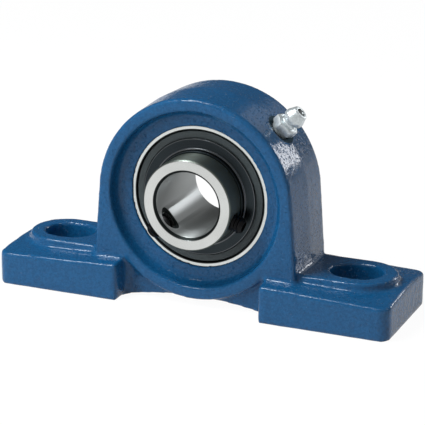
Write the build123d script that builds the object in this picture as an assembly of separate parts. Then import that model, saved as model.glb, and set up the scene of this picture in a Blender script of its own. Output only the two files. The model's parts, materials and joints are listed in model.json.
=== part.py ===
from build123d import *
from math import atan2, cos, degrees, radians, sin, sqrt, tan
import os

# Pillow block bearing for a 20 mm shaft. Sizes are in millimetres and degrees.
# The origin is in the middle of the base, X runs along the feet, Z is up, and the shaft lies along Y.
# The side with the clamping collar looks towards -Y.

# Housing: the sizes that a machine builder orders by
length = 127.0
foot_width = 38.0
shaft_height = 33.3
bolt_spacing = 95.0
slot_width = 13.0
slot_length = 16.0
pad_height = 14.0

# Housing: the arch
arch_width = 27.0
crown_wall = 4.5
flank_angle = 4.4
cast_draft = 2.25
arch_edge = 1.0
cast_fillet = 1.2

# Housing: the feet and their slot pads
foot_inner = 23.0
foot_height_inner = 11.5
foot_height_outer = 10.1
foot_crown = 1.2
foot_corner = 3.5
foot_inner_corner = 1.4
foot_edge = 0.8
pad_wall = 4.7
pad_edge = 0.6
slot_chamfer = 0.25

# Housing: the web between the feet
web_width = 22.0
web_half = 21.5
web_rise = 2.2
web_corner = 2.4

# Housing: the recess round the insert, and the seat
land_width = 3.7
recess_edge = 0.6
recess_taper = 0.4
recess_fillet = 2.4
seat_width = 18.0
seat_clearance = 0.03
grease_groove_width = 4.0
grease_groove_depth = 0.8
loading_clearance = 0.3
loading_depth = 0.05

# Insert: outer ring
outer_ring_width = 17.0
outer_step = 6.75
seal_wall = 2.8
land_step = 1.28
seal_seat_depth = 2.6
snap_groove_depth = 0.3
snap_groove_width = 0.7
ring_chamfer = 0.25
lube_groove_offset = 2.7
lube_groove_width = 3.4
lube_groove_depth = 0.4
lube_hole_offset = 3.8
lube_hole_radius = 0.6

# Insert: inner ring
bore_diameter = 20.0
collar_wall = 4.0
inner_ring_front = 18.3
inner_ring_rear = 12.7
bore_chamfer = 0.9
rear_bore_chamfer = 0.6
collar_chamfer = 0.4

# Insert: balls and cage
ball_count = 8
ball_diameter = 7.938
pitch_step = 2.75
race_openness = 0.081
ball_clearance = 0.015
cage_thickness = 0.6
pocket_clearance = 0.12
cage_clearance = 1.0
rivet_radius = 0.6
rivet_head_radius = 1.1
rivet_head_height = 0.5

# Insert: seals and flingers
core_thickness = 0.5
core_inner_gap = 1.4
core_outer_gap = 1.0
rib_width = 1.95
rib_gap = 0.45
rib_drop = 0.35
rubber_thickness = 1.4
lip_width = 0.35
lip_clearance = 0.06
bead_clearance = 0.03
flinger_thickness = 0.6
flinger_edge_gap = 0.3
flinger_gap = 0.4
flinger_hub_height = 1.5
flinger_bead_step = 1.1
flinger_bead_width = 0.3
flinger_bead_height = 0.4
flinger_edge = 0.2

# Set screws, drawn plain at the pitch diameter of their thread
screw_angles = (220.5, 340.5)
screw_from_front = 4.8
screw_pitch_radius = 2.675
screw_clearance = 0.05
screw_length = 6.0
screw_tip_retreat = 1.4
screw_cup_radius = 1.5
screw_cup_depth = 0.7
screw_edge = 0.4
socket_across_flats = 3.0
socket_depth = 2.6
countersink_radius = 3.15

# Grease nipple, its thread drawn plain
nipple_angle = 43.5
nipple_turn = 14.0
spotface_radius = 5.2
spotface_depth = 0.7
nipple_thread_radius = 3.0
nipple_thread_clearance = 0.05
nipple_shank = 5.4
nipple_runout = 0.7
nipple_across_flats = 7.0
nipple_hex_height = 2.6
nipple_neck_radius = 2.3
nipple_neck_height = 1.4
nipple_head_radius = 3.25
nipple_head_height = 4.0
nipple_band_height = 1.7
nipple_tip_radius = 2.1
nipple_mouth_radius = 1.25
nipple_mouth_depth = 0.4
nipple_chamber_radius = 1.6
nipple_inlet_radius = 0.7
nipple_floor = 0.8
valve_ball_radius = 1.5
valve_clearance = 0.02
spring_wire_radius = 0.2
spring_radius = 1.15
spring_turns = 4

# Worked-out sizes
shaft_centre = Pos(0, 0, shaft_height)
bore_radius = bore_diameter / 2
collar_radius = bore_radius + collar_wall
pitch_radius = collar_radius + pitch_step
insert_radius = pitch_radius + outer_step
ball_radius = ball_diameter / 2
race_groove_radius = ball_radius + race_openness
ball_step = 360 / ball_count
seam_step = 0.4
outer_half = outer_ring_width / 2
seal_bore_radius = insert_radius - seal_wall
outer_land_radius = seal_bore_radius - land_step
cage_inner_radius = collar_radius + cage_clearance
cage_outer_radius = outer_land_radius - cage_clearance
core_inner_radius = collar_radius + core_inner_gap
core_outer_radius = seal_bore_radius - core_outer_gap
rib_outer_radius = seal_bore_radius - rib_gap
rib_inner_radius = rib_outer_radius - rib_width
flinger_radius = rib_inner_radius - flinger_edge_gap
flinger_bead_radius = collar_radius + flinger_bead_step
arch_half = arch_width / 2
seat_half = seat_width / 2
recess_radius = insert_radius + land_width
crown_radius = recess_radius + crown_wall
rim_radius = crown_radius - arch_half * tan(radians(cast_draft))
ledge = foot_width / 2 - arch_half
corner_radius = min(cast_fillet, 0.35 * ledge)
rim_edge = min(foot_edge, 0.3 * ledge)
inner_corner = min(foot_inner_corner, 0.3 * ledge)
total_height = shaft_height + crown_radius
slot_centre = bolt_spacing / 2
pad_half = slot_width / 2 + pad_wall
ring_corner = shaft_height - sqrt(rim_radius**2 - foot_inner**2)
seat_radius = insert_radius + seat_clearance
seal_seat = outer_half - seal_seat_depth
core_front = seal_seat + core_thickness
rubber_front = core_front + rubber_thickness
flinger_back = rubber_front + flinger_gap
flinger_front = flinger_back + flinger_thickness
screw_depth = -inner_ring_front + screw_from_front
screw_tip = bore_radius + screw_tip_retreat
nipple_seat = crown_radius - spotface_depth
nipple_inner = nipple_seat - nipple_shank
nipple_hex_base = nipple_seat + nipple_runout
nipple_head_base = nipple_hex_base + nipple_hex_height + nipple_neck_height
nipple_top = nipple_head_base + nipple_head_height
mouth_edge = nipple_top - nipple_mouth_depth
valve_centre = mouth_edge - sqrt(valve_ball_radius**2 - nipple_mouth_radius**2) - valve_clearance


def turned(points, radii=0):
    """Turn a closed outline of (radius, depth) points about the Y axis."""
    outline = FilletPolyline(*points, radius=radii, close=True)
    return revolve(make_face(outline), Axis.Y)


def turned_upright(points, radii=0):
    """Turn a closed outline of (radius, height) points about the Z axis."""
    outline = FilletPolyline(*points, radius=radii, close=True)
    return revolve(Plane.XZ * make_face(outline), Axis.Z)


def ring(inner, outer, low, high):
    """A plain ring about the Y axis, between two depths."""
    return turned([(inner, low), (outer, low), (outer, high), (inner, high)])


def disc(radius, low, high):
    """A plain disc about the Y axis, between two depths."""
    return turned([(0, low), (radius, low), (radius, high), (0, high)])


def rear_of(piece):
    """The same piece turned over, on the rear side of the insert."""
    return Rotation(180, 0, 0) * piece


def radial(piece, angle, depth=0.0):
    """Point an upright piece away from the shaft's axis, at an angle from +X towards +Z."""
    return Pos(0, depth, 0) * Rotation(0, 90 - angle, 0) * piece


def about_shaft(piece, steps):
    """Turn a piece about the shaft by a number of ball steps."""
    return Rotation(0, -steps * ball_step, 0) * piece


def strip(inner, outer, low, high):
    """A rectangle in a turned section, between two radii and two depths."""
    return Pos((inner + outer) / 2, (low + high) / 2) * Rectangle(outer - inner, high - low)


def outlined(*points):
    """A straight-sided face in a turned section, from (radius, depth) points."""
    return make_face(Polyline(*points, close=True))


# Housing

def reach_x(edge):
    """How near and how far an edge lies from the middle of the length."""
    box = edge.bounding_box()
    ends = (abs(box.min.X), abs(box.max.X))
    return min(ends), max(ends)


def reach_y(edge):
    """How far an edge reaches from the middle of the width."""
    box = edge.bounding_box()
    return max(-box.min.Y, box.max.Y)


def flank_at(height):
    """Half the arch's width in its middle plane, at a height above the base."""
    slope = radians(flank_angle)
    return (crown_radius - (height - shaft_height) * sin(slope)) / cos(slope)


def arch_block():
    """The arch: flanks that run smoothly into the crown, drafted both ways from the middle plane."""
    slope = radians(flank_angle)
    touch = (crown_radius * cos(slope), crown_radius * sin(slope))
    low = -2 * shaft_height
    sides = Polyline(
        (-touch[0], touch[1]), (-flank_at(low + shaft_height), low), (flank_at(low + shaft_height), low), touch
    )
    top = ThreePointArc(touch, (0, crown_radius), (-touch[0], touch[1]))
    half = shaft_centre * extrude(Plane.XZ * make_face(sides + top), arch_half, taper=cast_draft)
    block = half + mirror(half, about=Plane.XZ)
    block &= Pos(0, 0, total_height) * Box(2 * length, foot_width, 2 * total_height)
    rims = block.edges().filter_by(lambda e: abs(e.center().Y) > arch_half - 0.01 and e.bounding_box().size.Z > 1)
    return fillet(rims, arch_edge)


def low_crown():
    """The part of the crown's ring that stands out of the web, down to the base."""
    blank = turned(
        [(0, -arch_half), (rim_radius, -arch_half), (crown_radius, 0), (rim_radius, arch_half), (0, arch_half)],
        [0, arch_edge, 0, arch_edge, 0],
    )
    height = ring_corner + arch_edge
    return (shaft_centre * blank) & (Pos(0, 0, height / 2) * Box(2 * length, foot_width, height))


def foot():
    """The foot on the +X side: rounded corners in plan, and a top that is crowned and slopes outwards."""
    outer = length / 2
    run = outer - foot_inner
    plan = Pos((outer + foot_inner) / 2, 0) * Rectangle(run, foot_width)
    plan = fillet(plan.vertices().group_by(Axis.X)[-1], foot_corner)
    plan = fillet(plan.vertices().group_by(Axis.X)[0], inner_corner)
    block = extrude(plan, pad_height + foot_crown)
    half = foot_width / 2
    reach = 2 * foot_height_inner
    top_arc = ThreePointArc((-half, 0), (0, foot_crown), (half, 0))
    sides = Polyline((half, 0), (half, -reach), (-half, -reach), (-half, 0))
    slope = degrees(atan2(foot_height_inner - foot_height_outer, run))
    bar = extrude(Plane.YZ * make_face(top_arc + sides), 1.2 * run, both=True)
    return block & (Pos(foot_inner, 0, foot_height_inner) * Rotation(0, slope, 0) * bar)


def pad():
    """The raised pad round the slot on the +X side, which runs into the arch at its inner end."""
    blank = Pos(slot_centre, 0) * SlotOverall(slot_length + 2 * pad_wall, 2 * pad_half)
    blank += Pos(slot_centre / 2, 0) * Rectangle(slot_centre, 2 * pad_half)
    block = extrude(blank, pad_height)
    rims = block.edges().filter_by(lambda e: e.bounding_box().min.Z > pad_height - 0.01 and reach_x(e)[1] > 0.01)
    return fillet(rims, pad_edge)


def is_cast_corner(edge):
    """Whether an edge is an inside corner between a foot, its pad and the arch."""
    box = edge.bounding_box()
    near, far = reach_x(edge)
    arch_side = flank_at(foot_height_outer)
    upright = box.size.X < 0.01 and box.size.Y < 0.01
    if box.min.Z < foot_height_outer or box.max.Z > pad_height + 0.01 or reach_y(edge) > arch_half + 0.01:
        return False
    if box.size.X < 0.01 and abs(near - foot_inner) < 0.01:
        return False
    if box.min.Z > foot_height_inner + foot_crown or upright:
        return far < arch_side
    return abs(reach_y(edge) - arch_half) < 0.01 or far < arch_side or reach_y(edge) < pad_half + 0.01


def is_foot_rim(edge):
    """Whether an edge runs along the outside of a foot's top."""
    box = edge.bounding_box()
    near, far = reach_x(edge)
    if box.min.Z < foot_height_outer - 1 or box.max.Z > foot_height_inner + foot_crown or box.size.Z > foot_crown:
        return False
    on_side = abs(reach_y(edge) - foot_width / 2) < 0.01
    on_end = near > length / 2 - 1.2 * foot_corner
    on_inner = foot_inner - 0.01 < near and far < foot_inner + inner_corner + 0.01
    return on_side or on_end or (on_inner and reach_y(edge) > arch_half + 0.1)


def is_web_corner(edge):
    """Whether an edge is the upright inside corner between the web and a foot."""
    box = edge.bounding_box()
    at_foot = box.size.X < 0.01 and abs(reach_x(edge)[0] - foot_inner) < 0.01
    return at_foot and abs(reach_y(edge) - web_width / 2) < 0.01 and box.size.Z > ring_corner / 2


def casting():
    """The outside of the casting, with its rounded corners, before any machining."""
    side = foot() + pad()
    body = arch_block() + side + mirror(side, about=Plane.YZ)
    body = fillet(body.edges().filter_by(is_cast_corner), corner_radius)
    body = fillet(body.edges().filter_by(is_foot_rim), rim_edge)
    depth = (arch_width - web_width) / 2
    for side_sign in (-1, 1):
        middle = side_sign * (arch_half - depth / 2)
        body -= Pos(0, middle, ring_corner / 2) * Box(2 * foot_inner, depth, ring_corner)
    body += low_crown()
    return fillet(body.edges().filter_by(is_web_corner), web_corner)


def web_arch():
    """What the shallow arch under the web takes out."""
    chord = Line((-web_half, 0), (web_half, 0))
    arc = ThreePointArc((web_half, 0), (0, web_rise), (-web_half, 0))
    return extrude(Plane.XZ * make_face(chord + arc), foot_width, both=True)


def recess():
    """What the front recess takes out: a rounded mouth, a tapering wall, a fillet and a flat land."""
    mouth = arch_half + recess_edge
    mouth_radius = recess_radius + 2 * recess_edge
    outline = [
        (0, -mouth),
        (mouth_radius, -mouth),
        (mouth_radius, -arch_half),
        (recess_radius, -arch_half),
        (recess_radius - recess_taper, -seat_half),
        (0, -seat_half),
    ]
    return turned(outline, [0, 0, 0, recess_edge, recess_fillet, 0])


def seat():
    """What the spherical seat, its grease groove and the loading slots in the rear half take out."""
    groove_half = grease_groove_width / 2
    section = Circle(seat_radius) & strip(0, 2 * seat_radius, -seat_half, seat_half)
    section += strip(0, seat_radius + grease_groove_depth, -groove_half, groove_half)
    slot_height = outer_ring_width + 2 * loading_clearance
    slots = disc(seat_radius + loading_depth, 0, seat_half) & Box(2 * length, foot_width, slot_height)
    return revolve(section, Axis.Y) + slots


def nipple_hole():
    """The spotface on the crown and the tapped hole down to the grease groove."""
    spotface = Pos(0, 0, nipple_seat) * Cylinder(
        spotface_radius, 2 * spotface_depth, align=(Align.CENTER, Align.CENTER, Align.MIN)
    )
    depth = nipple_seat - seat_radius
    hole = Pos(0, 0, seat_radius) * Cylinder(
        nipple_thread_radius + nipple_thread_clearance, depth, align=(Align.CENTER, Align.CENTER, Align.MIN)
    )
    return radial(spotface + hole, nipple_angle)


def bolt_slot():
    """What the bolt slot on the +X side takes out, with a small chamfer at the top."""
    profile = SlotOverall(slot_length, slot_width)
    hole = extrude(profile, pad_height)
    mouth = Pos(0, 0, pad_height) * extrude(offset(profile, slot_chamfer), -slot_chamfer, taper=45)
    return Pos(slot_centre, 0) * (hole + mouth)


def housing():
    body = casting() - web_arch()
    tools = recess() + rear_of(recess()) + seat() + nipple_hole()
    body -= shaft_centre * tools
    for hole in (bolt_slot(), mirror(bolt_slot(), about=Plane.YZ)):
        body -= hole
    return body


# Insert

def race_groove(bottom, side):
    """The circle that cuts a ball groove. Its side is 1 for a groove in the outer ring, or -1 in the inner."""
    return Pos(bottom - side * race_groove_radius, 0) * Circle(race_groove_radius)


def outer_ring():
    """The ring with the spherical outside, a land and a stepped bore for each seal, and a grease groove."""
    section = Circle(insert_radius) & strip(outer_land_radius, 2 * insert_radius, -outer_half, outer_half)
    section -= race_groove(pitch_radius + ball_radius + ball_clearance, 1)
    mouth = seal_bore_radius + ring_chamfer
    snap_radius = seal_bore_radius + snap_groove_depth
    seal_bore = outlined(
        (0, -seal_seat),
        (snap_radius, -seal_seat),
        (snap_radius, -seal_seat - snap_groove_width),
        (seal_bore_radius, -seal_seat - snap_groove_width),
        (seal_bore_radius, -outer_half + ring_chamfer),
        (mouth, -outer_half),
        (mouth, -outer_half - 1),
        (0, -outer_half - 1),
    )
    section -= seal_bore
    section -= mirror(seal_bore, about=Plane.XZ)
    groove_low = lube_groove_offset - lube_groove_width / 2
    groove_bottom = sqrt(insert_radius**2 - lube_groove_offset**2) - lube_groove_depth
    section -= strip(groove_bottom, 2 * insert_radius, groove_low, groove_low + lube_groove_width)
    body = revolve(section, Axis.Y)
    hole = Pos(0, 0, pitch_radius) * Cylinder(
        lube_hole_radius, insert_radius, align=(Align.CENTER, Align.CENTER, Align.MIN)
    )
    for angle in (90, 270):
        body -= radial(hole, angle, lube_hole_offset)
    return body


def screw_hole():
    """A tapped hole through the collar, with a countersink at both ends."""
    hole = turned_upright([
        (0, bore_radius / 2),
        (countersink_radius + bore_radius / 2, bore_radius / 2),
        (screw_pitch_radius, bore_radius + countersink_radius - screw_pitch_radius),
        (screw_pitch_radius, collar_radius - (countersink_radius - screw_pitch_radius)),
        (countersink_radius + 1, collar_radius + 1),
        (0, collar_radius + 1),
    ])
    return hole


def inner_ring():
    """The wide ring with the bore, the ball groove and the collar's two tapped holes."""
    section = outlined(
        (bore_radius + bore_chamfer, -inner_ring_front),
        (collar_radius - collar_chamfer, -inner_ring_front),
        (collar_radius, -inner_ring_front + collar_chamfer),
        (collar_radius, inner_ring_rear - collar_chamfer),
        (collar_radius - collar_chamfer, inner_ring_rear),
        (bore_radius + rear_bore_chamfer, inner_ring_rear),
        (bore_radius, inner_ring_rear - rear_bore_chamfer),
        (bore_radius, -inner_ring_front + bore_chamfer),
    )
    section -= race_groove(pitch_radius - ball_radius - ball_clearance, -1)
    body = revolve(section, Axis.Y)
    for angle in screw_angles:
        body -= radial(screw_hole(), angle, screw_depth)
    return body


def set_screw(angle):
    """A socket set screw with a cup point, which looks away from the shaft."""
    radius = screw_pitch_radius - screw_clearance
    head = screw_tip + screw_length
    body = turned_upright([
        (0, screw_tip + screw_cup_depth),
        (screw_cup_radius, screw_tip),
        (radius - screw_edge, screw_tip),
        (radius, screw_tip + screw_edge),
        (radius, head - screw_edge),
        (radius - screw_edge, head),
        (0, head),
    ])
    socket = Pos(0, 0, head - socket_depth) * extrude(
        RegularPolygon(socket_across_flats / 2, 6, major_radius=False), socket_depth
    )
    return radial(body - socket, angle, screw_depth)


def cage_front():
    """The front half of the riveted ribbon cage: flat between the balls, and a shell over each ball."""
    pocket_radius = ball_radius + pocket_clearance
    shell_radius = pocket_radius + cage_thickness
    ribbon = ring(cage_inner_radius, cage_outer_radius, -cage_thickness, 0)
    band = ring(cage_inner_radius, cage_outer_radius, -2 * shell_radius, 0)
    pocket = about_shaft(band, seam_step) & (Pos(pitch_radius, 0, 0) * Sphere(shell_radius))
    hollow = Pos(pitch_radius, 0, 0) * Sphere(pocket_radius)
    hole = Pos(pitch_radius, 0, 0) * Rotation(90, 0, 0) * Cylinder(rivet_radius, 4 * cage_thickness)
    body = about_shaft(ribbon, seam_step)
    for index in range(ball_count):
        body += about_shaft(pocket, index)
    for index in range(ball_count):
        body -= about_shaft(hollow, index)
        body -= about_shaft(hole, index + 0.5)
    return body


def cage_rivets():
    """Rivets with a round head at both ends, which clamp the cage halves together."""
    reach = cage_thickness + rivet_head_height
    rivet = turned(
        [
            (0, -reach),
            (rivet_head_radius, -reach),
            (rivet_head_radius, -cage_thickness),
            (rivet_radius, -cage_thickness),
            (rivet_radius, cage_thickness),
            (rivet_head_radius, cage_thickness),
            (rivet_head_radius, reach),
            (0, reach),
        ]
    )
    placed = Pos(pitch_radius, 0, 0) * rivet
    return Compound([about_shaft(placed, index + 0.5) for index in range(ball_count)])


def front_seal_core():
    """The pressed steel disc that stiffens the seal."""
    return ring(core_inner_radius, core_outer_radius, -core_front, -seal_seat)


def front_seal_rubber():
    """The rubber over the core: a bead in the outer ring's groove, a rib round the flinger and a lip."""
    bead_radius = seal_bore_radius + snap_groove_depth - bead_clearance
    bead_front = seal_seat + snap_groove_width - bead_clearance
    lip_radius = collar_radius + lip_clearance
    lip_back = rubber_front - lip_width
    return turned([
        (core_outer_radius, -seal_seat),
        (bead_radius, -seal_seat),
        (bead_radius, -bead_front),
        (rib_outer_radius, -bead_front),
        (rib_outer_radius, -outer_half + rib_drop),
        (rib_inner_radius, -outer_half + rib_drop),
        (rib_inner_radius, -rubber_front),
        (lip_radius, -rubber_front),
        (lip_radius, -lip_back),
        (core_inner_radius - core_thickness, -seal_seat),
        (core_inner_radius, -seal_seat),
        (core_inner_radius, -core_front),
        (core_outer_radius, -core_front),
    ])


def front_flinger():
    """The pressed ring on the collar: a flange over the seal, a small bead and a hub."""
    hub_radius = collar_radius + flinger_thickness
    bead_inner = flinger_bead_radius - flinger_bead_width
    bead_front = flinger_front + flinger_bead_height
    hub_front = flinger_front + flinger_hub_height
    outline = [
        (collar_radius, -flinger_back),
        (flinger_radius, -flinger_back),
        (flinger_radius, -flinger_front),
        (flinger_bead_radius, -flinger_front),
        (flinger_bead_radius, -bead_front),
        (bead_inner, -bead_front),
        (bead_inner, -flinger_front),
        (hub_radius, -flinger_front),
        (hub_radius, -hub_front),
        (collar_radius, -hub_front),
    ]
    bead_edge = flinger_bead_width * 0.4
    return turned(outline, [0, 0, flinger_edge, 0, bead_edge, bead_edge, 0, 0, flinger_edge, 0])


# Grease nipple

def grease_nipple_body():
    flats_radius = nipple_across_flats / 2
    hex_radius = flats_radius / cos(radians(30))
    bevel = (hex_radius - flats_radius) * 0.6
    hex_top = nipple_hex_base + nipple_hex_height
    hexagon = Pos(0, 0, nipple_hex_base) * extrude(
        RegularPolygon(flats_radius, 6, major_radius=False, rotation=nipple_turn), nipple_hex_height
    )
    bevelled = turned_upright([
        (0, nipple_hex_base),
        (hex_radius - bevel / 2, nipple_hex_base),
        (hex_radius, nipple_hex_base + bevel / 2),
        (hex_radius, hex_top - bevel),
        (hex_radius - 2 * bevel, hex_top),
        (0, hex_top),
    ])
    turned_part = turned_upright(
        [
            (0, nipple_inner),
            (nipple_thread_radius, nipple_inner),
            (nipple_thread_radius, nipple_hex_base),
            (nipple_neck_radius, nipple_hex_base),
            (nipple_neck_radius, nipple_head_base),
            (nipple_head_radius, nipple_head_base),
            (nipple_head_radius, nipple_head_base + nipple_band_height),
            (nipple_tip_radius, nipple_top),
            (0, nipple_top),
        ],
        [0, 0.5, 0, 0, 0.2, 0.5, 0.6, 0.3, 0],
    )
    passage = turned_upright([
        (0, nipple_inner),
        (nipple_inlet_radius, nipple_inner),
        (nipple_inlet_radius, nipple_inner + nipple_floor),
        (nipple_chamber_radius, nipple_inner + nipple_floor),
        (nipple_chamber_radius, mouth_edge - nipple_chamber_radius + nipple_mouth_radius),
        (nipple_mouth_radius, mouth_edge),
        (nipple_mouth_radius, nipple_top),
        (0, nipple_top),
    ])
    return radial(turned_part + (hexagon & bevelled) - passage, nipple_angle)


def grease_nipple_ball():
    return radial(Pos(0, 0, valve_centre) * Sphere(valve_ball_radius), nipple_angle)


def grease_nipple_spring():
    """A coil spring from the passage's floor to the underside of the valve ball."""
    low = nipple_inner + nipple_floor + spring_wire_radius
    drop = sqrt((valve_ball_radius + spring_wire_radius)**2 - spring_radius**2)
    high = valve_centre - drop - valve_clearance
    path = Helix((high - low) / spring_turns, high - low, spring_radius, center=(0, 0, low))
    section = Plane(origin=path @ 0, z_dir=path % 0) * Circle(spring_wire_radius)
    return radial(sweep(section, path), nipple_angle)


def all_pieces():
    """Every piece about the shaft's axis, by name. The housing is made in its own place."""
    pieces = {
        "outer_ring": outer_ring(),
        "inner_ring": inner_ring(),
        "cage_front": cage_front(),
        "cage_rear": rear_of(cage_front()),
        "cage_rivets": cage_rivets(),
        "front_seal_core": front_seal_core(),
        "rear_seal_core": rear_of(front_seal_core()),
        "front_seal_rubber": front_seal_rubber(),
        "rear_seal_rubber": rear_of(front_seal_rubber()),
        "front_flinger": front_flinger(),
        "rear_flinger": rear_of(front_flinger()),
        "grease_nipple_body": grease_nipple_body(),
        "grease_nipple_ball": grease_nipple_ball(),
        "grease_nipple_spring": grease_nipple_spring(),
    }
    first_ball = Pos(pitch_radius, 0, 0) * Sphere(ball_radius)
    for index in range(ball_count):
        pieces[f"ball_{index + 1}"] = about_shaft(first_ball, index)
    for number, angle in enumerate(screw_angles, 1):
        pieces[f"set_screw_{number}"] = set_screw(angle)
    return pieces


os.makedirs("parts", exist_ok=True)
export_step(housing(), "parts/housing.step")
for name, piece in all_pieces().items():
    export_step(shaft_centre * piece, f"parts/{name}.step")
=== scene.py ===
import bpy
import json
from math import cos, radians, sin, sqrt, tau
from mathutils import Matrix, Quaternion, Vector


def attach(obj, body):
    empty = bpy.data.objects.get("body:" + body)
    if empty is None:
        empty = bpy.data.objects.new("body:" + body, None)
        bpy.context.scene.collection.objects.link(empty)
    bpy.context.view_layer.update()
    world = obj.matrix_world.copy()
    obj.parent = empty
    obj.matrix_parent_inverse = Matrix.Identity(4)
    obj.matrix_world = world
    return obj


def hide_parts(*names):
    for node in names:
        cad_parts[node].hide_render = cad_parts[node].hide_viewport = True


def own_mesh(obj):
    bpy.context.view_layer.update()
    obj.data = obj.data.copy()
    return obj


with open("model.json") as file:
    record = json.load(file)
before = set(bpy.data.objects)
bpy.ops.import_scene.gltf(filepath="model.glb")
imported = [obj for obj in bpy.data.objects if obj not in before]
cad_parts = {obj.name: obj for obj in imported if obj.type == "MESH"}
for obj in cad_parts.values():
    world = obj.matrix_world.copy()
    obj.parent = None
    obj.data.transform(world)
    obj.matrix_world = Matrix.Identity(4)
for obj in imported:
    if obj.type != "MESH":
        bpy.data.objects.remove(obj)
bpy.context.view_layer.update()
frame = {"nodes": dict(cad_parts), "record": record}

scene = bpy.context.scene
nodes = frame["nodes"]
mm = 0.001

# the shaft's axis runs along Y at this height above the base
shaftHeight = next(m for m in frame["record"]["mounts"] if m["name"] == "shaft_bore")["pos_m"][2]
shaftPoint = Vector((0, 0, shaftHeight))
shaftAxis = Vector((0, 1, 0))
# the nipple leaves the shaft's axis at this angle from +X towards +Z
nippleAngle = 43.5
nippleAxis = Vector((cos(radians(nippleAngle)), 0, sin(radians(nippleAngle))))
# the set screws leave it at these angles, at this depth in mm
screwAngles = (220.5, 340.5)
screwDepth = -13.5


# small helpers

def pickNothing():
    if bpy.context.mode != "OBJECT":
        bpy.ops.object.mode_set(mode="OBJECT")
    bpy.ops.object.select_all(action="DESELECT")


def workOn(piece):
    pickNothing()
    piece.select_set(True)
    bpy.context.view_layer.objects.active = piece


def applyModifier(piece, kind, **settings):
    workOn(piece)
    modifier = piece.modifiers.new(kind.lower(), kind)
    for key, value in settings.items():
        setattr(modifier, key, value)
    bpy.ops.object.modifier_apply(modifier=modifier.name)


def smoothByAngle(piece, degrees=35):
    workOn(piece)
    bpy.ops.object.shade_smooth_by_angle(angle=radians(degrees))


def placeByMatrix(piece, matrix):
    # the place goes into the mesh, and the object stays at the origin
    piece.data.transform(matrix)
    piece.data.update()


def turnPiece(name, outline, segments=192, axisPoint=shaftPoint, axis=shaftAxis):
    # one point is drawn out along the closed outline of (radius, depth) in mm, then spun round the axis
    side = Vector((1, 0, 0))
    spots = [axisPoint + side * radius * mm + axis * depth * mm for radius, depth in outline]
    pickNothing()
    bpy.ops.mesh.primitive_plane_add(size=mm, location=(0, 0, 0))
    piece = bpy.context.active_object
    piece.name = name
    bpy.ops.object.mode_set(mode="EDIT")
    bpy.ops.mesh.select_all(action="SELECT")
    bpy.ops.mesh.merge(type="CENTER")
    bpy.ops.transform.translate(value=spots[0])
    for before, after in zip(spots, spots[1:] + spots[:1]):
        bpy.ops.mesh.extrude_region_move(TRANSFORM_OT_translate={"value": after - before})
    bpy.ops.mesh.select_all(action="SELECT")
    bpy.ops.mesh.remove_doubles(threshold=1e-7)
    bpy.ops.mesh.spin(steps=segments, angle=tau, center=axisPoint, axis=axis)
    bpy.ops.mesh.select_all(action="SELECT")
    bpy.ops.mesh.remove_doubles(threshold=1e-6)
    bpy.ops.mesh.normals_make_consistent(inside=False)
    bpy.ops.object.mode_set(mode="OBJECT")
    return piece


def softenCorners(piece, width, steps=2, degrees=30):
    applyModifier(piece, "BEVEL", width=width * mm, segments=steps, limit_method="ANGLE",
                  angle_limit=radians(degrees), harden_normals=False)
    smoothByAngle(piece)


def radialPlace(angle, depth):
    # turns an upright piece to point away from the shaft's axis, at an angle from +X towards +Z
    turn = Matrix.Rotation(radians(90 - angle), 4, "Y")
    return Matrix.Translation(shaftPoint + shaftAxis * depth * mm) @ turn


def cutWith(piece, cutter, operation="DIFFERENCE"):
    applyModifier(piece, "BOOLEAN", object=cutter, operation=operation, solver="EXACT")
    bpy.data.objects.remove(cutter)


def finishPiece(piece, body, slotName, material, *replaced):
    piece.data.materials.clear()
    piece.data.materials.append(material)
    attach(piece, body)
    if replaced:
        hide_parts(*replaced)


# camera, as the photograph was taken

cameraView = {
    "azimuth": 22.59, "elevation": 17.98, "roll": 0.46,
    "distance": 602.84, "target": (0.8, 0, 25.95),
    "lens": 167.9, "sensor": 36,
}


def addCamera(v):
    azimuth = radians(v["azimuth"])
    elevation = radians(v["elevation"])
    back = Vector((sin(azimuth) * cos(elevation), -cos(azimuth) * cos(elevation), sin(elevation)))
    data = bpy.data.cameras.new("camera")
    data.lens = v["lens"]
    data.sensor_width = v["sensor"]
    camera = bpy.data.objects.new("camera", data)
    scene.collection.objects.link(camera)
    camera.location = (Vector(v["target"]) + back * v["distance"]) * mm
    camera.rotation_mode = "QUATERNION"
    roll = Quaternion((0, 0, 1), radians(v["roll"]))
    camera.rotation_quaternion = (-back).to_track_quat("-Z", "Y") @ roll
    scene.camera = camera


addCamera(cameraView)
print("camera placed")


# materials

def startMaterial(name):
    material = bpy.data.materials.new(name)
    material.use_nodes = True
    return material, material.node_tree, material.node_tree.nodes["Principled BSDF"]


def addNode(tree, kind, **settings):
    node = tree.nodes.new("ShaderNode" + kind)
    for key, value in settings.items():
        if key in node.inputs:
            node.inputs[key].default_value = value
        else:
            setattr(node, key, value)
    return node


def objectCoords(tree):
    return addNode(tree, "TexCoord").outputs["Object"]


def noiseOf(tree, vector, scale, detail=3.0, roughness=0.55):
    node = addNode(tree, "TexNoise", Scale=scale, Detail=detail, Roughness=roughness)
    tree.links.new(vector, node.inputs["Vector"])
    return node.outputs["Fac"]


def remap(tree, value, low, high, outLow, outHigh):
    node = addNode(tree, "MapRange", interpolation_type="SMOOTHSTEP")
    tree.links.new(value, node.inputs["Value"])
    for key, number in (("From Min", low), ("From Max", high), ("To Min", outLow), ("To Max", outHigh)):
        node.inputs[key].default_value = number
    return node.outputs["Result"]


def blendColours(tree, factor, first, second):
    node = addNode(tree, "Mix", data_type="RGBA")
    tree.links.new(factor, node.inputs["Factor"])
    for socket, colour in ((node.inputs[6], first), (node.inputs[7], second)):
        if isinstance(colour, bpy.types.NodeSocket):
            tree.links.new(colour, socket)
        else:
            socket.default_value = (*colour, 1)
    return node.outputs[2]


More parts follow.
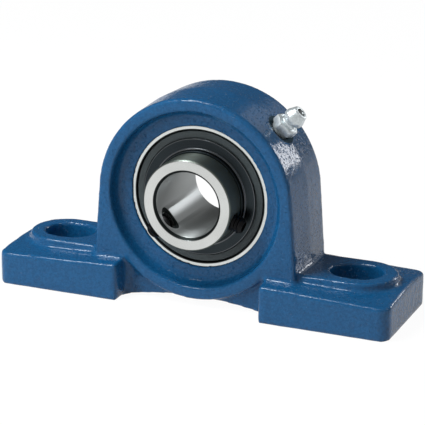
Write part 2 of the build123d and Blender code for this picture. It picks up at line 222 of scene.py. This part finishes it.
def blendNumbers(tree, factor, first, second):
    node = addNode(tree, "Mix", data_type="FLOAT")
    tree.links.new(factor, node.inputs["Factor"])
    for socket, number in ((node.inputs[2], first), (node.inputs[3], second)):
        if isinstance(number, bpy.types.NodeSocket):
            tree.links.new(number, socket)
        else:
            socket.default_value = number
    return node.outputs[0]


def addBump(tree, height, distance, below=None):
    node = addNode(tree, "Bump", Strength=1.0, Distance=distance)
    tree.links.new(height, node.inputs["Height"])
    if below is not None:
        tree.links.new(below, node.inputs["Normal"])
    return node.outputs["Normal"]


def turnedCoords(tree):
    # (radius, depth) from the shaft's axis, so that a pattern runs round it as a lathe leaves it
    place = addNode(tree, "SeparateXYZ")
    tree.links.new(objectCoords(tree), place.inputs[0])
    height = addNode(tree, "Math", operation="SUBTRACT")
    tree.links.new(place.outputs["Z"], height.inputs[0])
    height.inputs[1].default_value = shaftHeight
    flat = addNode(tree, "CombineXYZ")
    tree.links.new(place.outputs["X"], flat.inputs["X"])
    tree.links.new(height.outputs[0], flat.inputs["Y"])
    radius = addNode(tree, "VectorMath", operation="LENGTH")
    tree.links.new(flat.outputs[0], radius.inputs[0])
    joined = addNode(tree, "CombineXYZ")
    tree.links.new(radius.outputs["Value"], joined.inputs["X"])
    tree.links.new(place.outputs["Y"], joined.inputs["Y"])
    return joined.outputs[0]


def nippleDistance(tree):
    # how far a point lies from the nipple's axis
    fromShaft = addNode(tree, "VectorMath", operation="SUBTRACT")
    tree.links.new(objectCoords(tree), fromShaft.inputs[0])
    fromShaft.inputs[1].default_value = shaftPoint
    across = addNode(tree, "VectorMath", operation="CROSS_PRODUCT")
    tree.links.new(fromShaft.outputs[0], across.inputs[0])
    across.inputs[1].default_value = nippleAxis
    distance = addNode(tree, "VectorMath", operation="LENGTH")
    tree.links.new(across.outputs[0], distance.inputs[0])
    return distance.outputs["Value"]


castPaintLook = {
    "deep": (0.004, 0.066, 0.176), "light": (0.008, 0.094, 0.236), "roughness": (0.10, 0.20),
    "patchScale": 1300, "grainScale": 1500, "lumpScale": 600, "grain": 0.00013, "lump": 0.00008,
    # the painted shade round the nipple's foot: its colour, radius, blur and roughness
    "gloss": 0.40, "spotfaceShadeColour": (0.008, 0.032, 0.050), "spotfaceShadeRadius": 4.9, "spotfaceShadeBlur": 0.3,
    "spotfaceShadeRoughness": 0.6,
}


def makeCastPaint(v):
    # enamel over a sand-cast skin: shallow lumps, scattered grit and small changes of depth in the colour,
    # with a painted shade round the nipple's foot
    material, tree, shader = startMaterial("blue_casting_enamel")
    place = objectCoords(tree)
    patches = noiseOf(tree, place, v["patchScale"], 6, 0.75)
    lumps = noiseOf(tree, place, v["lumpScale"], 3)
    grain = noiseOf(tree, place, v["grainScale"], 4, 0.6)
    tone = remap(tree, patches, 0.35, 0.65, 0, 1)
    paint = blendColours(tree, tone, v["deep"], v["light"])
    # painted shade: the spotface under the nipple gets a dark, matt, metallic colour that stands in for the
    # shadow of the nipple's hexagon
    radius = v["spotfaceShadeRadius"] * mm
    spotfaceShade = remap(tree, nippleDistance(tree), radius, radius + v["spotfaceShadeBlur"] * mm, 1, 0)
    tree.links.new(blendColours(tree, spotfaceShade, paint, v["spotfaceShadeColour"]), shader.inputs["Base Color"])
    rough = remap(tree, grain, 0.3, 0.7, *v["roughness"])
    tree.links.new(blendNumbers(tree, spotfaceShade, rough, v["spotfaceShadeRoughness"]), shader.inputs["Roughness"])
    tree.links.new(spotfaceShade, shader.inputs["Metallic"])
    shader.inputs["Specular IOR Level"].default_value = v["gloss"]
    lumpNormal = addBump(tree, lumps, v["lump"])
    grit = remap(tree, grain, 0.56, 0.74, 0, 1)
    tree.links.new(addBump(tree, grit, v["grain"], below=lumpNormal), shader.inputs["Normal"])
    return material


def radiusBand(tree, inner, outer, blur=0.05):
    # 1 between two radii from the shaft's axis in mm, and 0 outside them
    radius = addNode(tree, "SeparateXYZ")
    tree.links.new(turnedCoords(tree), radius.inputs[0])
    rise = remap(tree, radius.outputs["X"], (inner - blur) * mm, (inner + blur) * mm, 0, 1)
    fall = remap(tree, radius.outputs["X"], (outer - blur) * mm, (outer + blur) * mm, 1, 0)
    band = addNode(tree, "Math", operation="MULTIPLY")
    tree.links.new(rise, band.inputs[0])
    tree.links.new(fall, band.inputs[1])
    return band.outputs[0]


lineLook = {"scale": 9000, "depth": 0.000004, "patchScale": 60, "darker": 0.88, "spread": (0.8, 1.25)}


def makeTurnedSteel(name, colour, roughness, bands=(), brushed=0.0):
    # steel with fine lines round the shaft's axis, and another colour and roughness between the radii of each
    # band, where the colour is painted shade or painted highlight
    material, tree, shader = startMaterial(name)
    # the lines spread a highlight along the axis and leave it narrow round it
    shader.inputs["Anisotropic"].default_value = brushed
    shader.inputs["Anisotropic Rotation"].default_value = 0.25
    around = addNode(tree, "Tangent", direction_type="RADIAL", axis="Y")
    tree.links.new(around.outputs[0], shader.inputs["Tangent"])
    lines = noiseOf(tree, turnedCoords(tree), lineLook["scale"], 2)
    patches = noiseOf(tree, objectCoords(tree), lineLook["patchScale"], 3)
    darker = tuple(c * lineLook["darker"] for c in colour)
    smoothest, roughest = (roughness * share for share in lineLook["spread"])
    tone = remap(tree, patches, 0.3, 0.7, 0, 1)
    seen = blendColours(tree, tone, darker, colour)
    rough = remap(tree, lines, 0.3, 0.7, smoothest, roughest)
    # each band's colour is a painted shade or a painted highlight on the same steel
    for inner, outer, bandColour, bandRoughness in bands:
        share = radiusBand(tree, inner, outer)
        seen = blendColours(tree, share, seen, bandColour)
        rough = blendNumbers(tree, share, rough, bandRoughness)
    tree.links.new(seen, shader.inputs["Base Color"])
    tree.links.new(rough, shader.inputs["Roughness"])
    tree.links.new(addBump(tree, lines, lineLook["depth"]), shader.inputs["Normal"])
    shader.inputs["Metallic"].default_value = 1
    return material


plainGrain = {"scale": 1500, "depth": 0.00001, "darker": 0.85, "spread": (0.85, 1.2)}
passageShadeLook = {"colour": (0.03, 0.035, 0.035), "blur": 0.15}


def makePlainMetal(name, colour, roughness, passage=0, metallic=1.0):
    # painted shade: a passage of this radius in mm along the nipple's axis is painted dark, for the shade in
    # the nipple's mouth and passage
    material, tree, shader = startMaterial(name)
    grain = noiseOf(tree, objectCoords(tree), plainGrain["scale"], 3)
    darker = tuple(c * plainGrain["darker"] for c in colour)
    smoothest, roughest = (roughness * share for share in plainGrain["spread"])
    tone = remap(tree, grain, 0.35, 0.65, 0, 1)
    seen = blendColours(tree, tone, darker, colour)
    if passage:
        # painted shade inside the nipple's passage and mouth
        edge = passage + passageShadeLook["blur"]
        inside = remap(tree, nippleDistance(tree), passage * mm, edge * mm, 1, 0)
        seen = blendColours(tree, inside, seen, passageShadeLook["colour"])
    tree.links.new(seen, shader.inputs["Base Color"])
    rough = remap(tree, grain, 0.3, 0.7, smoothest, roughest)
    tree.links.new(rough, shader.inputs["Roughness"])
    tree.links.new(addBump(tree, grain, plainGrain["depth"]), shader.inputs["Normal"])
    shader.inputs["Metallic"].default_value = metallic
    return material


rubberGrain = {"scale": 2200, "depth": 0.00002, "lighter": 1.35, "spread": 0.08}


def makeRubber(name, colour, roughness):
    material, tree, shader = startMaterial(name)
    grain = noiseOf(tree, objectCoords(tree), rubberGrain["scale"], 4)
    tone = remap(tree, grain, 0.35, 0.65, 0, 1)
    lighter = tuple(c * rubberGrain["lighter"] for c in colour)
    spread = rubberGrain["spread"]
    tree.links.new(blendColours(tree, tone, colour, lighter), shader.inputs["Base Color"])
    rough = remap(tree, grain, 0.3, 0.7, roughness - spread, roughness + spread)
    tree.links.new(rough, shader.inputs["Roughness"])
    tree.links.new(addBump(tree, grain, rubberGrain["depth"]), shader.inputs["Normal"])
    return material


castPaint = makeCastPaint(castPaintLook)
# the ring is bright where it is ground, and the edge of its mouth is painted dark, a painted shade for the
# gap beside the seal
ringMouthShade = ((19, 21, (0.12, 0.13, 0.13), 0.4),)
groundSteel = makeTurnedSteel("ground_ring_steel", (0.96, 1.0, 0.98), 0.24, ringMouthShade)
# painted shade: the collar's outside, the bore's chamfer and the bore get darker steel colours than the face,
# with their own roughness, for the shade and dim greenish reflections there; the face is turned bright
collarShadeBands = (
    (13.65, 16, (0.165, 0.185, 0.165), 0.40), (10.06, 10.85, (0.025, 0.03, 0.03), 0.55),
    (9, 10.06, (0.50, 0.52, 0.52), 0.44),
)
boreSteel = makeTurnedSteel("turned_collar_steel", (0.88, 0.90, 0.88), 0.15, collarShadeBands, 0.8)
# the flinger's sheared edge and its bead get a lighter steel colour, partly bare steel and partly a painted
# highlight for the bright arcs there
flingerEdgeHighlightBands = ((17.85, 18.5, (0.23, 0.24, 0.25), 0.3), (14.72, 15.2, (0.22, 0.23, 0.24), 0.3))
flingerSteel = makeTurnedSteel("dark_flinger_steel", (0.040, 0.050, 0.056), 0.30, flingerEdgeHighlightBands)
sealRubber = makeRubber("matt_seal_rubber", (0.042, 0.053, 0.056), 0.62)
blackOxide = makePlainMetal("black_oxide_steel", (0.020, 0.020, 0.021), 0.38)
# the zinc's passage of 1.22 mm is painted dark as shade
zincPlate = makePlainMetal("bright_zinc_plate", (0.80, 0.86, 0.88), 0.34, 1.22, 0.7)
# painted shade: the valve ball is a darker steel so that it reads dark inside the nipple's mouth
shadedValveSteel = makePlainMetal("shaded_valve_steel", (0.30, 0.33, 0.34), 0.20)
ballSteel = makePlainMetal("polished_ball_steel", (0.85, 0.85, 0.86), 0.08)
pressedSteel = makePlainMetal("pressed_sheet_steel", (0.55, 0.55, 0.56), 0.35)
springSteel = makePlainMetal("drawn_spring_wire", (0.55, 0.55, 0.57), 0.30)
print("materials made")


# the casting, from a merged copy of the housing's solid

castSkin = {
    "voxel": 0.56, "smoothing": 0.5, "smoothSteps": 5,
    "waveSize": 3.2, "waveDepth": 0.10,
}


def makeCasting(v):
    data = nodes["housing"].data.copy()
    data.materials.clear()
    piece = bpy.data.objects.new("housing_casting", data)
    scene.collection.objects.link(piece)
    workOn(piece)
    bpy.ops.object.mode_set(mode="EDIT")
    bpy.ops.mesh.select_all(action="SELECT")
    bpy.ops.mesh.remove_doubles(threshold=2e-6)
    bpy.ops.object.mode_set(mode="OBJECT")
    applyModifier(piece, "REMESH", mode="VOXEL", voxel_size=v["voxel"] * mm)
    applyModifier(piece, "SMOOTH", factor=v["smoothing"], iterations=v["smoothSteps"])
    waves = bpy.data.textures.new("sand_waves", "CLOUDS")
    waves.noise_scale = v["waveSize"] * mm
    waves.noise_depth = 2
    # the middle level is at the top, so the skin only moves inwards
    applyModifier(piece, "DISPLACE", texture=waves, texture_coords="LOCAL", mid_level=1.0,
                  strength=v["waveDepth"] * mm)
    workOn(piece)
    bpy.ops.object.shade_smooth()
    finishPiece(piece, "block", "painted_casting", castPaint, "housing")
    print("casting:", len(piece.data.polygons), "faces")


makeCasting(castSkin)


# the rings, turned about the shaft's axis

def ballGroove(bottom, radius, land, side, steps=16):
    # the groove's arc across the land, with side 1 in the outer ring and -1 in the inner ring
    middle = bottom - side * radius
    reach = sqrt(radius ** 2 - (land - middle) ** 2)
    depths = [side * (reach - 2 * reach * step / steps) for step in range(steps + 1)]
    return [(middle + side * sqrt(radius ** 2 - depth ** 2), depth) for depth in depths]


outerRingSizes = {
    "sphere": 23.5, "halfWidth": 8.5, "land": 19.42, "raceBottom": 20.734, "raceRadius": 4.05,
    "sealBore": 20.7, "sealSeat": 5.9, "snapDepth": 0.3, "snapWidth": 0.7, "mouth": 0.25,
    "grooveFrom": 1.0, "grooveTo": 4.4, "grooveDepth": 0.4, "cornerRound": 0.08,
}


def makeOuterRing(v):
    half = v["halfWidth"]
    seat = v["sealSeat"]
    snapEdge = seat + v["snapWidth"]
    snap = v["sealBore"] + v["snapDepth"]
    mouth = v["sealBore"] + v["mouth"]
    front = [
        (v["land"], -seat), (snap, -seat), (snap, -snapEdge), (v["sealBore"], -snapEdge),
        (v["sealBore"], -half + v["mouth"]), (mouth, -half),
    ]
    rear = [(radius, -depth) for radius, depth in reversed(front)]

    def outside(low, high, steps):
        depths = [low + (high - low) * step / steps for step in range(steps + 1)]
        return [(sqrt(v["sphere"] ** 2 - depth ** 2), depth) for depth in depths]

    bottom = sqrt(v["sphere"] ** 2 - ((v["grooveFrom"] + v["grooveTo"]) / 2) ** 2) - v["grooveDepth"]
    outline = front
    outline += outside(-half, v["grooveFrom"], 12)
    outline += [(bottom, v["grooveFrom"]), (bottom, v["grooveTo"])]
    outline += outside(v["grooveTo"], half, 6)
    outline += rear
    outline += ballGroove(v["raceBottom"], v["raceRadius"], v["land"], 1)
    piece = turnPiece("outer_ring_ground", outline)
    softenCorners(piece, v["cornerRound"])
    finishPiece(piece, "outer", "ground_steel", groundSteel, "outer_ring")


innerRingSizes = {
    "bore": 10.0, "collar": 14.0, "front": -18.3, "rear": 12.7, "boreChamfer": 0.9, "rearChamfer": 0.6,
    "edge": 0.4, "raceBottom": 12.766, "raceRadius": 4.05, "holeRadius": 2.725, "sinkRadius": 3.15,
    "cornerRound": 0.10,
}


def makeInnerRing(v):
    outline = [
        (v["bore"] + v["boreChamfer"], v["front"]), (v["collar"] - v["edge"], v["front"]),
        (v["collar"], v["front"] + v["edge"]),
    ]
    outline += ballGroove(v["raceBottom"], v["raceRadius"], v["collar"], -1)
    outline += [
        (v["collar"], v["rear"] - v["edge"]), (v["collar"] - v["edge"], v["rear"]),
        (v["bore"] + v["rearChamfer"], v["rear"]), (v["bore"], v["rear"] - v["rearChamfer"]),
        (v["bore"], v["front"] + v["boreChamfer"]),
    ]
    piece = turnPiece("inner_ring_turned", outline, 256)
    softenCorners(piece, v["cornerRound"])
    sink = v["sinkRadius"] - v["holeRadius"]
    hole = [
        (0, v["bore"] / 2), (v["sinkRadius"] + v["bore"] / 2, v["bore"] / 2),
        (v["holeRadius"], v["bore"] + sink), (v["holeRadius"], v["collar"] - sink),
        (v["sinkRadius"] + 1, v["collar"] + 1), (0, v["collar"] + 1),
    ]
    for angle in screwAngles:
        cutter = turnPiece("hole_cutter", hole, 48, Vector((0, 0, 0)), Vector((0, 0, 1)))
        placeByMatrix(cutter, radialPlace(angle, screwDepth))
        cutWith(piece, cutter)
    smoothByAngle(piece)
    finishPiece(piece, "inner", "turned_steel", boreSteel, "inner_ring")


sealSizes = {
    "coreInner": 15.4, "coreOuter": 19.7, "back": 5.9, "coreFront": 6.4, "rubberFront": 7.8,
    "bead": 20.97, "beadFront": 6.57, "ribInner": 18.3, "ribOuter": 20.25, "ribFront": 8.15,
    "lip": 14.06, "lipWidth": 0.35, "cornerRound": 0.12,
}
flingerSizes = {
    "hub": 14.0, "hubOuter": 14.6, "outer": 18.0, "back": 8.2, "front": 8.8, "hubFront": 10.3,
    "beadOuter": 15.1, "beadInner": 14.8, "beadHeight": 0.4, "cornerRound": 0.10,
}


def makeSeal(side, v):
    outline = [
        (v["coreOuter"], v["back"]), (v["bead"], v["back"]), (v["bead"], v["beadFront"]),
        (v["ribOuter"], v["beadFront"]), (v["ribOuter"], v["ribFront"]), (v["ribInner"], v["ribFront"]),
        (v["ribInner"], v["rubberFront"]), (v["lip"], v["rubberFront"]),
        (v["lip"], v["rubberFront"] - v["lipWidth"]), (v["coreInner"] - 0.5, v["back"]),
        (v["coreInner"], v["back"]), (v["coreInner"], v["coreFront"]), (v["coreOuter"], v["coreFront"]),
    ]
    sign = -1 if side == "front" else 1
    piece = turnPiece(f"{side}_seal_moulding", [(radius, sign * depth) for radius, depth in outline])
    softenCorners(piece, v["cornerRound"], 3)
    finishPiece(piece, "outer", "seal_rubber", sealRubber, f"{side}_seal_rubber")


def makeFlinger(side, v):
    outline = [
        (v["hub"], v["back"]), (v["outer"], v["back"]), (v["outer"], v["front"]),
        (v["beadOuter"], v["front"]), (v["beadOuter"], v["front"] + v["beadHeight"]),
        (v["beadInner"], v["front"] + v["beadHeight"]), (v["beadInner"], v["front"]),
        (v["hubOuter"], v["front"]), (v["hubOuter"], v["hubFront"]), (v["hub"], v["hubFront"]),
    ]
    sign = -1 if side == "front" else 1
    piece = turnPiece(f"{side}_flinger_pressing", [(radius, sign * depth) for radius, depth in outline])
    softenCorners(piece, v["cornerRound"], 3)
    finishPiece(piece, "inner", "flinger_steel", flingerSteel, f"{side}_flinger")


makeOuterRing(outerRingSizes)
makeInnerRing(innerRingSizes)
for side in ("front", "rear"):
    makeSeal(side, sealSizes)
    makeFlinger(side, flingerSizes)
print("rings, seals and flingers made")


# set screws, with a socket, a cup point and a cut thread

setScrewSizes = {
    "crest": 2.62, "root": 2.28, "pitch": 1.0, "tip": 11.4, "length": 6.0, "edge": 0.45,
    "cupRadius": 1.5, "cupDepth": 0.7, "flats": 3.0, "socketDepth": 2.6,
}


def makeThreadCoil(name, crest, root, pitch, low, high):
    # a ridge of three corners is wound up the core by a screw modifier, then both ends are closed
    turns = max(1, int((high - low) / pitch) - 1)
    width = pitch * 0.42
    start = (low + high) / 2 - turns * pitch / 2
    sunk = root - 0.05    # the ridge's foot lies a little inside the core
    corners = [(sunk, start - width), (crest, start), (sunk, start + width)]
    pickNothing()
    bpy.ops.mesh.primitive_plane_add(size=mm, location=(0, 0, 0))
    coil = bpy.context.active_object
    coil.name = name
    bpy.ops.object.mode_set(mode="EDIT")
    bpy.ops.mesh.select_all(action="SELECT")
    bpy.ops.mesh.merge(type="CENTER")
    spots = [Vector((radius * mm, 0, height * mm)) for radius, height in corners]
    bpy.ops.transform.translate(value=spots[0])
    for before, after in zip(spots, spots[1:] + spots[:1]):
        bpy.ops.mesh.extrude_region_move(TRANSFORM_OT_translate={"value": after - before})
    bpy.ops.mesh.select_all(action="SELECT")
    bpy.ops.mesh.remove_doubles(threshold=1e-7)
    bpy.ops.object.mode_set(mode="OBJECT")
    applyModifier(coil, "SCREW", axis="Z", angle=tau, screw_offset=pitch * mm, iterations=turns,
                  steps=40, render_steps=40, use_merge_vertices=False)
    bpy.ops.object.mode_set(mode="EDIT")
    bpy.ops.mesh.select_all(action="DESELECT")
    bpy.ops.mesh.select_non_manifold()
    bpy.ops.mesh.edge_face_add()
    bpy.ops.mesh.select_all(action="SELECT")
    bpy.ops.mesh.normals_make_consistent(inside=False)
    bpy.ops.object.mode_set(mode="OBJECT")
    return coil


def makeSetScrew(number, v):
    head = v["tip"] + v["length"]
    core = [
        (0, v["tip"] + v["cupDepth"]), (v["cupRadius"], v["tip"]), (v["root"] - v["edge"], v["tip"]),
        (v["root"], v["tip"] + v["edge"]), (v["root"], head - v["edge"]),
        (v["root"] - v["edge"] / 2, head), (0, head),
    ]
    piece = turnPiece(f"set_screw_{number}_threaded", core, 64, Vector((0, 0, 0)), Vector((0, 0, 1)))
    pickNothing()
    bpy.ops.mesh.primitive_cylinder_add(vertices=6, radius=v["flats"] / 2 / cos(radians(30)) * mm,
                                        depth=2 * v["socketDepth"] * mm, location=(0, 0, head * mm))
    socket = bpy.context.active_object
    workOn(socket)
    bpy.ops.object.transform_apply(location=True, rotation=True, scale=True)
    cutWith(piece, socket)
    coil = makeThreadCoil("thread", v["crest"], v["root"], v["pitch"], v["tip"] + v["edge"], head - v["edge"])
    workOn(piece)
    coil.select_set(True)
    bpy.ops.object.join()
    smoothByAngle(piece, 30)
    placeByMatrix(piece, radialPlace(screwAngles[number - 1], screwDepth))
    finishPiece(piece, f"screw_{number}", "black_screw_steel", blackOxide, f"set_screw_{number}")


for number in (1, 2):
    makeSetScrew(number, setScrewSizes)
print("set screws made")


# grease nipple, on the crown's right shoulder

nippleSizes = {
    "turn": 14, "seat": 31.7, "inner": 25.6, "thread": 3.0, "flats": 7.0, "hexHeight": 2.6,
    "neck": 2.3, "neckHeight": 1.4, "head": 3.25, "headHeight": 4.0, "band": 1.7, "tip": 2.1, "mouth": 1.25,
    "mouthDepth": 0.4, "chamber": 1.6, "inlet": 0.7, "floor": 0.8, "cornerRound": 0.12, "hexRound": 0.07,
    "threadEdge": 0.4, "neckFillet": 0.3, "headEdge": 0.4, "tipRound": 0.25, "mouthEdge": 0.12,
}


def makeNipple(v):
    origin = Vector((0, 0, 0))
    upright = Vector((0, 0, 1))
    base = v["seat"] + v["hexHeight"] + v["neckHeight"]
    top = base + v["headHeight"]
    shoulder = top - v["mouthDepth"]
    outline = [
        (v["inlet"], v["inner"]), (v["thread"] - v["threadEdge"], v["inner"]),
        (v["thread"], v["inner"] + v["threadEdge"]),
        (v["thread"], v["seat"] + 0.05), (v["thread"], v["seat"] + v["hexHeight"] - 0.1),
        (v["neck"] + v["neckFillet"], v["seat"] + v["hexHeight"]),
        (v["neck"], v["seat"] + v["hexHeight"] + v["neckFillet"]),
        (v["neck"], base - 0.1), (v["head"] - v["headEdge"], base), (v["head"], base + v["headEdge"]),
        (v["head"], base + v["band"] - 0.2), (v["head"] - 0.15, base + v["band"] + 0.1),
        (v["tip"] + 0.2, top - v["tipRound"]), (v["tip"] - 0.1, top),
        (v["mouth"] + 0.1, top), (v["mouth"], top - v["mouthEdge"]), (v["mouth"], shoulder),
        (v["chamber"], shoulder - v["chamber"] + v["mouth"]), (v["chamber"], v["inner"] + v["floor"]),
        (v["inlet"], v["inner"] + v["floor"]),
    ]
    piece = turnPiece("grease_nipple_turned", outline, 96, origin, upright)
    softenCorners(piece, v["cornerRound"], 2, 25)
    corner = v["flats"] / 2 / cos(radians(30))
    bevel = (corner - v["flats"] / 2) * 0.75
    pickNothing()
    bpy.ops.mesh.primitive_cylinder_add(vertices=6, radius=corner * mm, depth=v["hexHeight"] * mm,
                                        location=(0, 0, (v["seat"] + v["hexHeight"] / 2) * mm))
    hexagon = bpy.context.active_object
    hexagon.name = "nipple_hexagon"
    workOn(hexagon)
    # the primitive's corner lies on Y, and the flats face front and rear before the hexagon is turned
    hexagon.rotation_euler.z = radians(30 + v["turn"])
    bpy.ops.object.transform_apply(location=True, rotation=True, scale=True)
    crown = [
        (v["thread"] - 0.2, v["seat"]), (corner - bevel / 2, v["seat"]), (corner, v["seat"] + bevel / 2),
        (corner, v["seat"] + v["hexHeight"] - bevel), (corner - 2 * bevel, v["seat"] + v["hexHeight"]),
        (v["thread"] - 0.2, v["seat"] + v["hexHeight"]),
    ]
    bevelled = turnPiece("hexagon_bevel", crown, 96, origin, upright)
    cutWith(hexagon, bevelled, "INTERSECT")
    softenCorners(hexagon, v["hexRound"], 2, 25)
    workOn(piece)
    hexagon.select_set(True)
    bpy.ops.object.join()
    smoothByAngle(piece, 28)
    placeByMatrix(piece, radialPlace(nippleAngle, 0))
    finishPiece(piece, "block", "zinc_plate", zincPlate, "grease_nipple_body")


nippleSpringSizes = {
    "low": 26.6, "high": 37.179, "wire": 0.2, "coil": 1.15, "turns": 4,
    "wireSides": 12, "steps": 32, "joint": "nipple_valve_travel", "travel": 0.8,
}


def makeNippleSpring(v):
    # a round section is wound up the passage
    pickNothing()
    bpy.ops.mesh.primitive_circle_add(vertices=v["wireSides"], radius=v["wire"] * mm,
                                      rotation=(radians(90), 0, 0),
                                      location=(v["coil"] * mm, 0, v["low"] * mm))
    piece = bpy.context.active_object
    piece.name = "nipple_coil_spring"
    bpy.ops.object.transform_apply(location=True, rotation=True, scale=True)
    pitch = (v["high"] - v["low"]) / v["turns"]
    applyModifier(piece, "SCREW", axis="Z", angle=tau, screw_offset=pitch * mm, iterations=v["turns"],
                  steps=v["steps"], render_steps=v["steps"], use_merge_vertices=False)
    bpy.ops.object.mode_set(mode="EDIT")
    bpy.ops.mesh.select_all(action="DESELECT")
    bpy.ops.mesh.select_non_manifold()
    bpy.ops.mesh.edge_face_add()
    bpy.ops.mesh.select_all(action="SELECT")
    bpy.ops.mesh.normals_make_consistent(inside=False)
    bpy.ops.object.mode_set(mode="OBJECT")
    smoothByAngle(piece, 40)
    placeByMatrix(piece, radialPlace(nippleAngle, 0))
    finishPiece(piece, "block", "spring_steel", springSteel, "grease_nipple_spring")
    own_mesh(piece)


makeNipple(nippleSizes)
makeNippleSpring(nippleSpringSizes)
print("grease nipple made")


# pieces whose solids stay, with their own finishes

hiddenFinishes = {
    "grease_nipple_ball": shadedValveSteel,
    "cage_front": pressedSteel, "cage_rear": pressedSteel, "cage_rivets": pressedSteel,
    "front_seal_core": pressedSteel, "rear_seal_core": pressedSteel,
}
for name in nodes:
    if name.startswith("ball_"):
        hiddenFinishes[name] = ballSteel
for name, material in hiddenFinishes.items():
    for place in nodes[name].material_slots:
        place.material = material
print("inner pieces dressed")


# floor, world and lamps

floorLook = {
    "size": 6.0, "colour": (0.86, 0.86, 0.86), "roughness": 0.9, "whiteShare": 0.93, "white": 1.03,
    "mirrorShare": 0.95, "mirrored": 0.74,
}


def addFloor(v):
    pickNothing()
    bpy.ops.mesh.primitive_plane_add(size=v["size"], location=(0, 0, 0))
    floor = bpy.context.active_object
    floor.name = "floor"
    material, tree, shader = startMaterial("pale_floor")
    shader.inputs["Base Color"].default_value = (*v["colour"], 1)
    shader.inputs["Roughness"].default_value = v["roughness"]
    # the camera sees a mostly plain white floor, and the piece mirrors an even one
    path = addNode(tree, "LightPath")
    lit = shader.outputs[0]
    for ray, share, strength in (("Is Glossy Ray", v["mirrorShare"], v["mirrored"]),
                                 ("Is Camera Ray", v["whiteShare"], v["white"])):
        glow = addNode(tree, "Emission", Strength=strength)
        part = addNode(tree, "Math", operation="MULTIPLY")
        part.inputs[1].default_value = share
        tree.links.new(path.outputs[ray], part.inputs[0])
        mixed = addNode(tree, "MixShader")
        tree.links.new(part.outputs[0], mixed.inputs[0])
        tree.links.new(lit, mixed.inputs[1])
        tree.links.new(glow.outputs[0], mixed.inputs[2])
        lit = mixed.outputs[0]
    tree.links.new(lit, tree.nodes["Material Output"].inputs["Surface"])
    floor.data.materials.append(material)


worldLook = {
    "fill": 0.19, "dim": 0.08, "bright": 0.19, "edgeAzimuth": 2, "edgeWidth": 30,
    "front": 0.40, "behindFrom": (-0.1, 0.4),
    "windowAzimuth": 12, "windowElevation": 27, "windowReach": (13, 5), "window": 0.8,
}


def addWorld(v):
    world = bpy.data.worlds.new("studio")
    scene.world = world
    world.use_nodes = True
    tree = world.node_tree
    background = tree.nodes["Background"]
    path = addNode(tree, "LightPath")
    direction = addNode(tree, "SeparateXYZ")
    sky = addNode(tree, "TexCoord").outputs["Generated"]
    tree.links.new(sky, direction.inputs[0])
    background.inputs["Color"].default_value = (1, 1, 1, 1)
    # in a mirror the studio is even in front, and behind the block dim on the left and bright on the right
    edge = radians(v["edgeAzimuth"])
    across = addNode(tree, "Math", operation="MULTIPLY")
    tree.links.new(direction.outputs["X"], across.inputs[0])
    across.inputs[1].default_value = cos(edge)
    along = addNode(tree, "Math", operation="MULTIPLY_ADD")
    tree.links.new(direction.outputs["Y"], along.inputs[0])
    along.inputs[1].default_value = -sin(edge)
    tree.links.new(across.outputs[0], along.inputs[2])
    reach = sin(radians(v["edgeWidth"]) / 2)
    sides = remap(tree, along.outputs[0], -reach, reach, v["dim"], v["bright"])
    behind = remap(tree, direction.outputs["Y"], *v["behindFrom"], 0, 1)
    around = blendNumbers(tree, behind, v["front"], sides)
    # a soft window stands behind the block, seen in the bore and in the hollows on its right
    turn, rise = radians(v["windowAzimuth"]), radians(v["windowElevation"])
    nearness = addNode(tree, "VectorMath", operation="DOT_PRODUCT")
    tree.links.new(sky, nearness.inputs[0])
    nearness.inputs[1].default_value = (sin(turn) * cos(rise), cos(turn) * cos(rise), sin(rise))
    outer, inner = (cos(radians(angle)) for angle in v["windowReach"])
    inWindow = remap(tree, nearness.outputs["Value"], outer, inner, 0, 1)
    mirrored = blendNumbers(tree, inWindow, around, v["window"])
    level = blendNumbers(tree, path.outputs["Is Glossy Ray"], v["fill"], mirrored)
    seen = blendNumbers(tree, path.outputs["Is Camera Ray"], level, 1)
    tree.links.new(seen, background.inputs["Strength"])


# each lamp: its place, width and height in mm, its power and colour, and whether the piece mirrors it
lampPlan = {
    "rear_right_strip": {
        "at": (442, 643, 240), "size": (190, 280), "watts": 1.3,
        "colour": (0.97, 0.98, 1.0), "mirrored": True,
    },
    "overhead_softbox": {
        "at": (-240, -200, 560), "size": (240, 240), "watts": 3.2,
        "colour": (0.95, 0.99, 1.0), "mirrored": True,
    },
    "front_softbox": {
        "at": (-480, -520, 330), "size": (460, 460), "watts": 3.1,
        "colour": (1.0, 1.0, 1.0), "mirrored": False,
    },
}
lampAim = Vector((0, 0, 30)) * mm


def addLamps(plan):
    for name, v in plan.items():
        data = bpy.data.lights.new(name, "AREA")
        data.shape = "RECTANGLE"
        data.size = v["size"][0] * mm
        data.size_y = v["size"][1] * mm
        data.energy = v["watts"]
        data.color = v["colour"]
        lamp = bpy.data.objects.new(name, data)
        scene.collection.objects.link(lamp)
        lamp.location = Vector(v["at"]) * mm
        aim = lampAim - lamp.location
        lamp.rotation_mode = "QUATERNION"
        lamp.rotation_quaternion = aim.to_track_quat("-Z", "Y")
        lamp.visible_camera = False
        lamp.visible_glossy = v["mirrored"]


addFloor(floorLook)
addWorld(worldLook)
addLamps(lampPlan)
scene.view_settings.view_transform = "Standard"
print("studio lit")

pickNothing()
